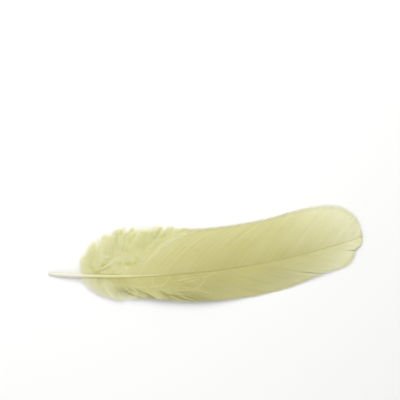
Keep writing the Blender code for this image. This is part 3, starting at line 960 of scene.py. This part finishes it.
def mesh_of(name, *parts):
    """One mesh of all the strands. Each part's cells fill its own band of the map, by its faces."""
    faces = np.array([len(part.counts) for part in parts])
    heights = faces / faces.sum()
    bands = np.cumsum(heights) - heights
    before = np.cumsum([0] + [len(part.points) for part in parts])
    loops = np.concatenate([part.loops + start for part, start in zip(parts, before)])
    counts = np.concatenate([part.counts for part in parts])
    places = [part.places * (1.0, high) + (0.0, low) for part, low, high in zip(parts, bands, heights)]
    places = np.concatenate(places)
    mesh = bpy.data.meshes.new(name)
    mesh.vertices.add(before[-1])
    mesh.vertices.foreach_set("co", np.concatenate([part.points for part in parts]).ravel())
    mesh.loops.add(len(loops))
    mesh.loops.foreach_set("vertex_index", loops)
    mesh.polygons.add(len(counts))
    mesh.polygons.foreach_set("loop_start", np.cumsum(counts) - counts)
    mesh.uv_layers.new(name="OFBake").data.foreach_set("uv", places.ravel())
    for shade in parts[0].shades:
        values = np.concatenate([part.shades[shade] for part in parts]).astype(np.float32)
        mesh.attributes.new(shade, "FLOAT", "POINT").data.foreach_set("value", values)
    mesh.update(calc_edges=True)
    mesh.shade_smooth()
    mesh.set_sharp_from_angle(angle=SHARP)
    return mesh


def add_piece(mesh, finish):
    """Shows the mesh as a piece of the feather, in place of the plain solid."""
    piece = bpy.data.objects.new(mesh.name, mesh)
    bpy.context.scene.collection.objects.link(piece)
    mesh.materials.append(finish)
    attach(piece, "root")
    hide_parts(NODE)


def vane_mesh(name, sizes, side):
    """Barbs of one vane. Each has a section like a low roof: a raised rib, and a thin web to each side.

    A web is wider than half the space between two barbs, and its tipward side lies over the next
    barb's, so the webs close into one sheet. They narrow to the rib where the barbs are loose, and at
    their ends.
    """
    barbs = barb_lines(sizes, side)
    rib = sizes.barb_thickness * (RIB + RIB_AT_SHAFT * (1.0 - barbs.out))
    rib = rib * (1.0 - LOOSE_RIB * barbs.loose)
    ending = 1.0 - WEB_NARROWER * smoothstep(*WEB_ENDS, barbs.out)
    closed = 1.0 - smoothstep(*WEB_OPENS, barbs.loose)
    web = np.maximum(WEB * barbs.spacing * closed * ending, LEAST_WEB * rib)
    height = rib * (1.0 - RIB_LOWER * smoothstep(*RIB_ENDS, barbs.out))
    across = math.cos(WEB_TILT) * barbs.across - side * math.sin(WEB_TILT) * barbs.up
    up = math.cos(WEB_TILT) * barbs.up + side * math.sin(WEB_TILT) * barbs.across
    section = np.array(SECTION)
    wide = section[:, 0][None, None, :, None] * (web[..., None, None] * across[:, :, None])
    high = section[:, 1][None, None, :, None] * (height[..., None, None] * up[:, :, None])
    rings = barbs.lines[:, :, None] + wide + high
    tips = rings[:, -1].mean(axis=1)
    rings = rings[:, :-1]
    starts = rings[:, 0].mean(axis=1)
    shades = {
        "out": barbs.out[:, :-1, None],
        "tone": barbs.tone[:, :-1, None],
        "rib": 1.0 - np.abs(section[:, 0])[None, None, :],
        "loose": barbs.loose[:, :-1, None],
        "shaded": barbs.shaded[:, :-1, None],
        "reach": (barbs.out * barbs.length)[:, :-1, None] / MM,
    }
    return mesh_of(name, loft(rings, starts, tips, COLUMNS["barbs"], shades))


def limit_height(points):
    """Moves the points up off the surface, or down below the feather's highest place."""
    points[..., 2] = points[..., 2].clip(LOWEST, HIGHEST)


def strands(points, radius, up, columns, shades):
    """Flat strands of three corners: a ring round each point of a line but its two ends."""
    ahead = unit(np.gradient(points, axis=1))
    across = unit(np.cross(up, ahead))
    upright = np.cross(ahead, across)
    section = np.array(HAIR_SECTION)
    turn = section[:, :1] * across[:, :, None] + section[:, 1:] * upright[:, :, None]
    rings = points[:, 1:-1, None] + radius[..., None, None] * turn[:, 1:-1]
    return loft(rings, points[:, 0], points[:, -1], columns, shades)


def hair_roots(barbs, rng):
    """Places on the loose barbs from which a pair of hairs grows, one to each side.

    Each barb is cut into equal stretches with a place in each. A place stays by chance, more likely
    the looser the barb is there, and only if it is clear of the shaft.
    """
    rows = np.flatnonzero(barbs.loose[:, NEAR_END] > LOOSE_ENOUGH)
    counts = np.maximum(barbs.length[rows, 0] / barbs.hair_spacing, 1.0).astype(int)
    barb = np.repeat(rows, counts)
    stretch = np.arange(len(barb)) - np.repeat(np.cumsum(counts) - counts, counts)
    v = (stretch + rng.uniform(*HAIR_PLACES, len(barb))) / np.repeat(counts, counts)
    at = v * (barbs.lines.shape[1] - 1)
    low = np.minimum(at.astype(int), barbs.lines.shape[1] - 2)
    share = (at - low)[:, None]

    def blended(values):
        return values[barb, low] * (1.0 - share) + values[barb, low + 1] * share

    base = blended(barbs.lines)
    ahead = unit(barbs.lines[barb, low + 1] - barbs.lines[barb, low])
    up = unit(blended(barbs.up))
    x, y, _ = np.moveaxis(shaft_centre(base[:, 0] + LENGTH / 2), -1, 0)
    clear = np.abs(base[:, 1] - y) > CLEAR_OF_SHAFT * shaft_radius(x + LENGTH / 2)
    chance = smoothstep(*HAIRY, blended(barbs.loose[..., None])[:, 0])
    chance *= 1.0 - SHADED_BARE * blended(barbs.shaded[..., None])[:, 0]
    keep = np.flatnonzero((rng.uniform(0.0, 1.0, len(barb)) < chance) & clear)
    keep = np.repeat(keep, 2)
    sides = np.tile([1.0, -1.0], len(keep) // 2)[:, None]
    return SimpleNamespace(
        barb=barb[keep],
        v=v[keep],
        base=base[keep],
        ahead=ahead[keep],
        up=up[keep],
        aside=unit(np.cross(up, ahead))[keep] * sides,
    )


def barbules(sizes, barbs, rng):
    """Fine hairs to both sides of each loose barb: two straight stretches, bent forward along it."""
    roots = hair_roots(barbs, rng)
    hairs = len(roots.barb)
    spread = np.radians(rng.normal(*HAIR_SPREAD, hairs))[:, None]
    raised = np.radians(rng.normal(*HAIR_RISE, hairs))[:, None]
    away = np.cos(raised) * roots.aside + np.sin(raised) * roots.up
    length = barbs.hair * sizes.barbule_length * rng.uniform(*HAIR_LENGTHS, hairs)
    length = length * (1.0 - HAIR_SHORTER * roots.v**3)
    short = (barbs.length[roots.barb, 0] / SHORT_BARB).clip(SHORTEST_HAIR, 1.0)
    length = (length * short)[:, None]
    bent = spread - np.radians(rng.uniform(*HAIR_TURN, hairs))[:, None]
    middle = roots.base + HAIR_BEND * length * (np.cos(spread) * roots.ahead + np.sin(spread) * away)
    tip = middle + (1.0 - HAIR_BEND) * length * (np.cos(bent) * roots.ahead + np.sin(bent) * away)
    points = np.stack([roots.base, middle, tip], axis=1)
    limit_height(points)
    tone = barbs.tone[roots.barb, 0] + rng.uniform(-HAIR_TONE, HAIR_TONE, hairs)
    radius = np.full((hairs, 1), sizes.barbule_radius * barbs.fine)
    shades = {"out": roots.v[:, None, None], "tone": tone[:, None, None]}
    return strands(points, radius, roots.up[:, None], COLUMNS["hairs"], shades)


def bare_barbs(sizes, barbs):
    """The middle strand of each barb of down, without its hairs."""
    radius = sizes.barb_thickness * (STRAND_RADIUS - STRAND_TAPER * barbs.out[:, 1:-1]) * barbs.fine
    shades = {"out": barbs.out[:, 1:-1, None], "tone": barbs.tone[:, 1:-1, None]}
    return strands(barbs.lines, radius, barbs.up, COLUMNS["strands"], shades)


def down_mesh(name, sizes, side):
    """Hairs of the vane's loose barbs."""
    return mesh_of(name, barbules(sizes, barb_lines(sizes, side), random_draws(sizes, "down", side)))


def under_down_mesh(name, sizes, side):
    """A second row of barbs of down, under the vane, with their hairs."""
    barbs = barb_lines(sizes, side, under=True)
    limit_height(barbs.lines)
    hairs = barbules(sizes, barbs, random_draws(sizes, "under_down", side))
    return mesh_of(name, bare_barbs(sizes, barbs), hairs)


def wisps_mesh(name, sizes, side):
    """Loose barbs that lie over the vane, with their hairs."""
    barbs = wisp_lines(sizes, side)
    limit_height(barbs.lines)
    hairs = barbules(sizes, barbs, random_draws(sizes, "wisps", side))
    return mesh_of(name, bare_barbs(sizes, barbs), hairs)


def quill_mesh(name):
    """Quill and shaft: a round section carried along the shaft's line.

    It starts inside the small hole in the quill's end and turns over the hole's rim. Past the quill
    the section gets squarer, by a cosine of four times its angle, and gets a groove underneath, a
    bell curve round its lowest angle.
    """
    hole, factors = np.array(QUILL_HOLE).T
    run = QUILL_FROM + (SHAFT_END - QUILL_FROM) * np.linspace(0.0, 1.0, QUILL_RINGS) ** RING_CROWDING
    along = np.concatenate([hole * MM, run])
    radius = shaft_radius(along) * np.concatenate([factors, np.ones_like(run)])
    angle = 2.0 * math.pi * np.arange(QUILL_CORNERS) / QUILL_CORNERS
    centre = shaft_centre(along)
    ahead = unit(shaft_centre(along + SHORT_STEP) - centre)
    across = unit(np.cross((0.0, 0.0, 1.0), ahead))
    upright = np.cross(ahead, across)
    grooved = smoothstep(*GROOVE_STARTS, along)[:, None]
    groove = GROOVE_DEPTH * grooved * np.exp(-(((angle - 1.5 * math.pi) / GROOVE_WIDTH) ** 2))
    squared = 1.0 + SQUARED * grooved * (1.0 - np.cos(4.0 * angle))
    size = radius[:, None] * (squared - groove)
    turn = np.cos(angle)[:, None] * across[:, None] + np.sin(angle)[:, None] * upright[:, None]
    rings = (centre[:, None] + size[..., None] * turn)[None]
    rings[..., 2] = np.maximum(rings[..., 2], QUILL_LOWEST)
    start = shaft_centre(np.array([HOLE_DEPTH * MM]))
    end = shaft_centre(np.array([SHAFT_END + SHAFT_POINT]))
    shades = {"share": (along / LENGTH)[None, :, None]}
    return mesh_of(name, loft(rings, start, end, COLUMNS["quill"], shades))


class Shade:
    """A shader value that signs work on: each sign adds a Math node."""

    def __init__(self, nodes, socket):
        self.nodes = nodes
        self.socket = socket

    def maths(self, operation, *values):
        return self.nodes.add("ShaderNodeMath", {"operation": operation}, dict(enumerate(values)))

    def __add__(self, other):
        return self.maths("ADD", self, other)

    def __radd__(self, other):
        return self.maths("ADD", other, self)

    def __sub__(self, other):
        return self.maths("SUBTRACT", self, other)

    def __rsub__(self, other):
        return self.maths("SUBTRACT", other, self)

    def __mul__(self, other):
        return self.maths("MULTIPLY", self, other)

    def __rmul__(self, other):
        return self.maths("MULTIPLY", other, self)

    def __pow__(self, other):
        return self.maths("POWER", self, other)


class Finish:
    """The nodes of one material."""

    def __init__(self, name):
        self.material = bpy.data.materials.new(name)
        self.material.use_nodes = True
        self.tree = self.material.node_tree
        self.tree.nodes.clear()

    def add(self, kind, settings=None, inputs=None, output=0):
        """Adds a node: its settings come first, then the values or links of its sockets."""
        node = self.tree.nodes.new(kind)
        for name, value in (settings or {}).items():
            setattr(node, name, value)
        for name, value in (inputs or {}).items():
            if isinstance(value, Shade):
                self.tree.links.new(value.socket, node.inputs[name])
            else:
                node.inputs[name].default_value = value
        return Shade(self, node.outputs[output]) if node.outputs else None

    def attribute(self, name):
        """One of the numbers that a mesh keeps for its finish."""
        return self.add("ShaderNodeAttribute", {"attribute_name": name}, output="Fac")

    def tone(self):
        """The mesh's tone, taken from -1..1 to 0..1."""
        return self.attribute("tone") * 0.5 + 0.5

    def along(self):
        """The place along the feather, as X."""
        place = self.add("ShaderNodeTexCoord", output="Object")
        return self.add("ShaderNodeSeparateXYZ", {}, {0: place}, output="X")

    def between(self, share, first, second):
        """A colour between two others."""
        inputs = {0: share, 6: rgba(first), 7: rgba(second)}
        return self.add("ShaderNodeMix", {"data_type": "RGBA"}, inputs, output=2)

    def spread(self, value, low, high):
        """A value taken from low..high to 0..1."""
        inputs = {"Value": value, "From Min": low, "From Max": high}
        return self.add("ShaderNodeMapRange", {"clamp": True}, inputs)

    def noise(self, scale, detail, stretch=(1.0, 1.0, 1.0)):
        """Noise on object coordinates, in features to the metre."""
        place = self.add("ShaderNodeTexCoord", output="Object")
        place = self.add("ShaderNodeMapping", {}, {"Vector": place, "Scale": stretch})
        return self.add("ShaderNodeTexNoise", {}, {"Vector": place, "Scale": scale, "Detail": detail})

    def bump(self, height, strength, distance):
        """A normal that follows a height."""
        inputs = {"Height": height, "Strength": strength, "Distance": distance}
        return self.add("ShaderNodeBump", {}, inputs)

    def close(self, shader):
        """The finished material, with this shader as its surface."""
        self.add("ShaderNodeOutputMaterial", {}, {"Surface": shader})
        return self.material


def rgba(colour):
    """A colour as a node's socket takes it: linked as it is, or with an alpha of 1."""
    return colour if isinstance(colour, Shade) else (*colour, 1.0)


def scaled(colour, factor):
    """A colour made darker or lighter, by a factor on each part."""
    return tuple(factor * part for part in colour)


def sheet_finish(finish, colour, normal, roughness, through, sheen):
    """A shader for thin barbs: a soft surface that lets light through from behind."""
    inputs = {
        "Base Color": colour,
        "Roughness": roughness,
        "Normal": normal,
        "Specular IOR Level": 0.35,
        "Sheen Weight": sheen,
        "Sheen Roughness": 0.45,
    }
    front = finish.add("ShaderNodeBsdfPrincipled", {}, inputs)
    behind = finish.add("ShaderNodeBsdfTranslucent", {}, {"Color": colour})
    return finish.add("ShaderNodeMixShader", {}, {0: through, 1: front, 2: behind})


def vane_finish(name, colours, factor, inside, band, base, crease_shade):
    """Barbs: paler to the edges, the tip and the quill, with lighter ribs and fine cross lines.

    Each has its own tone. Halfway along the feather they are darker next to the shaft, partly dye and
    partly painted shade, which fades outwards. The narrow vane also has painted shade from the shaft to
    its edge over a band, and inside next to its down, and its shaded strands and the barbs right beside
    the shaft get painted shade in the shaft's colour.
    """
    finish = Finish(name)
    along = finish.along()
    tone = finish.tone()
    out = finish.attribute("out")
    rib = finish.attribute("rib")
    reach = finish.attribute("reach")
    to_tip = finish.spread(along, *TO_TIP)

    patches = finish.noise(scale=70.0, detail=3.0, stretch=(0.5, 1.0, 1.0))
    pale = PALE_EDGE * out**OUTWARD_POWER + to_tip**TIPWARD_POWER
    pale = pale + PALE_QUILL * finish.spread(along, *TO_QUILL) + PALE_PATCHES * (patches - 0.5)
    pale = pale + PALE_LOOSE * finish.attribute("loose")
    colour = finish.between(pale, scaled(colours.vane, factor), scaled(colours.edge, factor))

    # Darker next to the shaft halfway along, partly dye and partly painted shade, and painted shade on
    # the narrow vane over a band and next to its down
    halfway = finish.spread(along, *INSIDE_DULLS) * finish.spread(along, *INSIDE_BRIGHTENS)
    across = finish.spread(along, *BAND_DULLS) * finish.spread(along, *BAND_BRIGHTENS)
    dull_and_shade = inside * halfway * (1.0 - out) ** INWARD_POWER + band * across
    dull_and_shade = dull_and_shade + base * finish.spread(along, *BASE_DULLS) * (1.0 - out)
    colour = finish.between(dull_and_shade, colour, scaled(colours.inner, factor))

    colour = finish.between(tone * LIGHT_BARBS, colour, scaled(colours.edge, LIGHTER))
    dark = (1.0 - tone) * DARK_BARBS + (1.0 - rib) * DARK_WEBS
    colour = finish.between(dark, colour, scaled(colours.vane, DARKER))
    colour = finish.between(finish.attribute("shaded") * SHADE, colour, colours.shaft)
    # Painted shade in the crease beside the shaft, in the shaft's colour
    painted_crease_shade = crease_shade * (1.0 - CREASE_SHADE_FADE * to_tip) * finish.spread(reach, *CREASE_SHADE)
    colour = finish.between(painted_crease_shade, colour, colours.shaft)

    angle = (reach + rib * HAIR_LINES_SLANT) * HAIR_LINES
    lines = finish.add("ShaderNodeMath", {"operation": "SINE"}, {0: angle})
    normal = finish.bump(lines, strength=0.25, distance=0.00001)
    roughness = 0.50 + 0.10 * (1.0 - tone)
    return finish.close(sheet_finish(finish, colour, normal, roughness, through=0.30, sheen=0.25))


def down_finish(name, colours, at_quill, everywhere, crease_shade):
    """Down: paler and less glossy than the vanes.

    Each hair has its own tone. Patches took more dye, and the down may have painted shade next to the
    shaft and be whiter towards the quill or everywhere.
    """
    finish = Finish(name)
    tone = finish.tone()
    out = finish.attribute("out")
    colour = finish.between(tone * LIGHT_HAIRS, colours.down, colours.light_down)
    colour = finish.between((1.0 - tone) * DARK_HAIRS, colour, scaled(colours.down, DARKER_DOWN))
    patches = finish.spread(finish.noise(scale=190.0, detail=2.0), *DEEP_PATCHES)
    colour = finish.between(patches * (1.0 - DEEP_FADE * out), colour, colours.deep)
    # Painted shade next to the shaft, in the inner colour
    colour = finish.between(crease_shade * finish.spread(out, *DOWN_CREASE_SHADE), colour, colours.inner)
    white = finish.spread(finish.along(), *DOWN_WHITENS) * (WHITE_AT_SHAFT + out) * at_quill
    colour = finish.between(white, colour, colours.white_down)
    colour = finish.between(everywhere, colour, colours.white_down)
    normal = finish.bump(finish.noise(scale=9000.0, detail=2.0), strength=0.2, distance=0.00002)
    roughness = 0.62 + 0.12 * (1.0 - tone)
    return finish.close(sheet_finish(finish, colour, normal, roughness, through=0.15, sheen=0.15))


def quill_finish(name, colours):
    """Horn: ivory and smooth at the quill, yellow between the down, and duller between the vanes.

    Between the vanes that duller colour is partly the horn's own and partly painted shade.
    """
    finish = Finish(name)
    share = finish.attribute("share")
    fibres = finish.noise(scale=2600.0, detail=3.0, stretch=(0.02, 1.0, 1.0))
    clouds = finish.noise(scale=260.0, detail=2.0)
    to_vanes = finish.spread(share, *HORN_TO_VANES)
    colour = finish.between(finish.spread(share, *HORN_TO_DOWN), colours.quill, colours.ridge)
    # Partly painted shade: the shaft darkens between the vanes
    colour = finish.between(to_vanes, colour, colours.shaft)
    colour = finish.between(finish.spread(share, *HORN_TO_TIP) * HORN_TIP, colour, colours.ridge)
    dark = finish.spread(fibres, *FIBRES) * DARK_FIBRES
    colour = finish.between(dark, colour, scaled(colours.shaft, FIBRE_SHADE))
    light = finish.spread(clouds, *CLOUDS) * LIGHT_CLOUDS
    colour = finish.between(light, colour, scaled(colours.quill, CLOUD_LIGHT))
    inputs = {
        "Base Color": colour,
        "Roughness": 0.28 + 0.16 * fibres + 0.24 * to_vanes,
        "Normal": finish.bump(fibres, strength=0.22, distance=0.00004),
        "Coat Weight": 0.12 * (1.0 - to_vanes),
        "Coat Roughness": 0.22,
        "Subsurface Weight": 0.45,
        "Subsurface Radius": (0.9, 0.85, 0.55),
        "Subsurface Scale": 0.0014,
    }
    return finish.close(finish.add("ShaderNodeBsdfPrincipled", {}, inputs))


def floor_finish(name, colours):
    """Smooth pale card."""
    finish = Finish(name)
    grain = finish.noise(scale=900.0, detail=3.0)
    colour = finish.between(grain, colours.floor, scaled(colours.floor, FLOOR_GRAIN))
    inputs = {"Base Color": colour, "Roughness": 0.75, "Specular IOR Level": 0.2}
    return finish.close(finish.add("ShaderNodeBsdfPrincipled", {}, inputs))


class FEATHER_OT_quill(Operator):
    """Make the quill and the shaft"""

    bl_idname = "feather.quill"
    bl_label = "Quill and Shaft"

    def execute(self, context):
        add_piece(quill_mesh("quill"), quill_finish("horn", context.scene.feather_colours))
        return {"FINISHED"}


class FEATHER_OT_vanes(Operator):
    """Make the barbs of both vanes"""

    bl_idname = "feather.vanes"
    bl_label = "Vanes"

    def execute(self, context):
        sizes = context.scene.feather_sizes
        colours = context.scene.feather_colours
        for name, side in VANES.items():
            finish = vane_finish(name + "_vane_barbs", colours, **VANE_DYES_AND_SHADE[side])
            add_piece(vane_mesh(name + "_vane", sizes, side), finish)
        return {"FINISHED"}


class FEATHER_OT_down(Operator):
    """Make the down on both sides of the shaft, next to the quill"""

    bl_idname = "feather.down"
    bl_label = "Down"

    def execute(self, context):
        sizes = context.scene.feather_sizes
        colours = context.scene.feather_colours
        for name, side in VANES.items():
            down = down_finish(name + "_down", colours, **DOWN_DYES_AND_SHADE[side])
            wisps = down_finish(name + "_wisps", colours, **WISP_DYES[side])
            add_piece(down_mesh(name + "_down", sizes, side), down)
            add_piece(under_down_mesh(name + "_under_down", sizes, side), down)
            add_piece(wisps_mesh(name + "_wisps", sizes, side), wisps)
        return {"FINISHED"}


def floor_mesh(name, width):
    """A square sheet at height 0: both sides run from minus to plus half its width."""
    sides = np.array([-0.5, 0.5]) * width
    x, y = np.meshgrid(sides, sides)
    mesh = bpy.data.meshes.new(name)
    mesh.from_pydata(np.stack([x.ravel(), y.ravel(), 0.0 * x.ravel()], axis=-1), [], [(0, 1, 3, 2)])
    return mesh


def add_floor(scene):
    """A wide sheet of card under the feather, which belongs to the stage."""
    floor = bpy.data.objects.new("floor", floor_mesh("floor", FLOOR_WIDTH))
    floor.data.materials.append(floor_finish("pale_card", scene.feather_colours))
    scene.collection.objects.link(floor)


def add_world(scene):
    """Even white light from all sides."""
    world = bpy.data.worlds.new("studio")
    world.use_nodes = True
    background = world.node_tree.nodes["Background"]
    background.inputs["Color"].default_value = (1.0, 1.0, 1.0, 1.0)
    background.inputs["Strength"].default_value = SKY_LIGHT
    scene.world = world


def add_lamp(scene, name, place, width, power):
    """A square lamp that points at the origin."""
    lamp = bpy.data.lights.new(name, "AREA")
    lamp.size = width
    lamp.energy = power
    holder = bpy.data.objects.new(name, lamp)
    holder.location = place
    holder.rotation_euler = (-Vector(place)).to_track_quat("-Z", "Y").to_euler()
    scene.collection.objects.link(holder)


def add_camera(scene):
    """A camera that looks straight down from above the feather."""
    camera = bpy.data.cameras.new("camera")
    camera.lens = CAMERA_LENS
    camera.sensor_width = CAMERA_SENSOR
    camera.clip_start = CAMERA_NEAR
    holder = bpy.data.objects.new("camera", camera)
    holder.location = CAMERA_PLACE
    holder.rotation_euler = (0.0, 0.0, CAMERA_TURN)
    scene.collection.objects.link(holder)
    scene.camera = holder


class FEATHER_OT_stage(Operator):
    """Make the floor, the lights and the camera"""

    bl_idname = "feather.stage"
    bl_label = "Stage"

    def execute(self, context):
        add_floor(context.scene)
        add_world(context.scene)
        for name, settings in LAMPS.items():
            add_lamp(context.scene, name, *settings)
        add_camera(context.scene)
        context.scene.view_settings.view_transform = "Standard"
        return {"FINISHED"}


OPERATORS = (FEATHER_OT_quill, FEATHER_OT_vanes, FEATHER_OT_down, FEATHER_OT_stage)


class FEATHER_PT_panel(Panel):
    """Lists what makes the feather"""

    bl_idname = "FEATHER_PT_panel"
    bl_label = "Goose Quill Feather"
    bl_space_type = "VIEW_3D"
    bl_region_type = "UI"
    bl_category = "Feather"

    def draw(self, context):
        layout = self.layout
        for group in (context.scene.feather_sizes, context.scene.feather_colours):
            box = layout.box()
            for name in group.__annotations__:
                box.prop(group, name)
        for operator in OPERATORS:
            layout.operator(operator.bl_idname)


CLASSES = (FeatherSizes, FeatherColours, *OPERATORS, FEATHER_PT_panel)


def register():
    for made in CLASSES:
        bpy.utils.register_class(made)
    bpy.types.Scene.feather_sizes = PointerProperty(type=FeatherSizes)
    bpy.types.Scene.feather_colours = PointerProperty(type=FeatherColours)


def unregister():
    del bpy.types.Scene.feather_colours
    del bpy.types.Scene.feather_sizes
    for made in reversed(CLASSES):
        bpy.utils.unregister_class(made)


def main():
    register()
    bpy.ops.feather.quill()
    bpy.ops.feather.vanes()
    bpy.ops.feather.down()
    bpy.ops.feather.stage()


if __name__ == "__main__":
    main()
